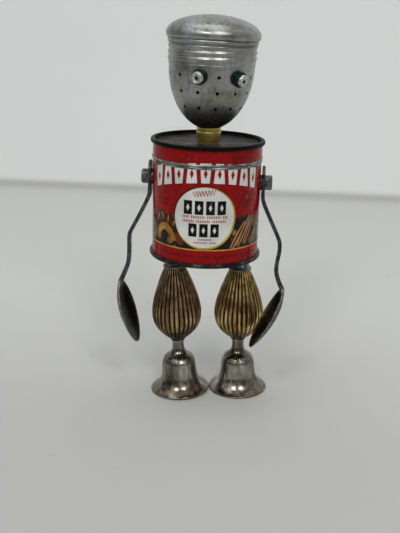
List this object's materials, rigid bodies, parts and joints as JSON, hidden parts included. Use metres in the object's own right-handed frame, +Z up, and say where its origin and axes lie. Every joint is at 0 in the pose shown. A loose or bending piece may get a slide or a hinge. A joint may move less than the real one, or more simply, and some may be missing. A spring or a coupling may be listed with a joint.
{
  "type": "found-object robot figure",
  "caption": "Standing robot figure built from household metal: perforated shaker head, slip-lid tin body, bent spoon arms on bolts, fluted bulb legs and hand-bell feet.",
  "frame": {"origin": "on the floor, under the middle of the figure", "axes": "+Z up, the face looks to -Y, +X to the right of someone facing the figure"},
  "size_m": [0.133, 0.0872, 0.2994],
  "materials": {
    "head_aluminium": "dull brushed, grimy and pitted",
    "eye_steel": "worn zinc plate",
    "grommet_rubber": "dark green, satin",
    "neck_brass": "aged, lightly brushed",
    "hardware_steel": "dull",
    "lid_top": "oxidised, satin",
    "red_litho": "glossy printed tinplate",
    "bare_tin": "dull bare tinplate",
    "tin_base": "dull, grimy",
    "spoon_metal": "tarnished plate",
    "bulb_brass": "dark patina",
    "collar_metal": "dull grey",
    "bell_silver": "tarnished silver plate, glossy"
  },
  "bodies": {
    "tin": {"tin_wall": "red_litho", "tin_liner": "bare_tin", "tin_bottom": "tin_base", "left_shoulder_bolt": "hardware_steel", "left_shoulder_spacer": "hardware_steel", "left_shoulder_washer": "hardware_steel", "left_shoulder_nut": "hardware_steel", "right_shoulder_bolt": "hardware_steel", "right_shoulder_spacer": "hardware_steel", "right_shoulder_washer": "hardware_steel", "right_shoulder_nut": "hardware_steel", "left_bell": "bell_silver", "left_bell_nut": "hardware_steel", "left_bulb": "bulb_brass", "left_collar": "collar_metal", "left_leg_rod": "hardware_steel", "left_leg_washer": "hardware_steel", "left_leg_nut": "hardware_steel", "right_bell": "bell_silver", "right_bell_nut": "hardware_steel", "right_bulb": "bulb_brass", "right_collar": "collar_metal", "right_collar_screw": "hardware_steel", "right_leg_rod": "hardware_steel", "right_leg_washer": "hardware_steel", "right_leg_nut": "hardware_steel"},
    "lid": {"neck_barrel": "neck_brass", "neck_bolt": "hardware_steel", "neck_washer": "hardware_steel", "neck_nut": "hardware_steel", "lid_end": "lid_top", "lid_skirt": "red_litho"},
    "head": {"head_bowl": "head_aluminium", "left_eye_screw": "eye_steel", "left_eye_grommet": "grommet_rubber", "left_eye_nut": "eye_steel", "right_eye_screw": "eye_steel", "right_eye_grommet": "grommet_rubber", "right_eye_nut": "eye_steel"},
    "cap": {"head_cap": "head_aluminium"},
    "left_arm": {"left_spoon": "spoon_metal"},
    "right_arm": {"right_spoon": "spoon_metal"}
  },
  "joints": [
    {"name": "lid_lift", "type": "slide", "parent": "tin", "child": "lid", "axis": [0.0279, 0, 0.9996], "range_m": [0, 0.02]},
    {"name": "head_turn", "type": "hinge", "parent": "lid", "child": "head", "pos_m": [0.0073, 0, 0.21845], "axis": [0.0279, 0, 0.9996], "continuous": true},
    {"name": "cap_lift", "type": "slide", "parent": "head", "child": "cap", "axis": [0.0576, 0, 0.9983], "range_m": [0, 0.03]},
    {"name": "left_arm_swing", "type": "hinge", "parent": "tin", "child": "left_arm", "pos_m": [-0.03761, 0.00303, 0.17939], "axis": [-0.9972, 0.0698, 0.0279], "range_deg": [-60, 150]},
    {"name": "right_arm_swing", "type": "hinge", "parent": "tin", "child": "right_arm", "pos_m": [0.04915, -0.00228, 0.17536], "axis": [-0.9982, 0.0523, 0.0279], "range_deg": [0, 150]}
  ]
}
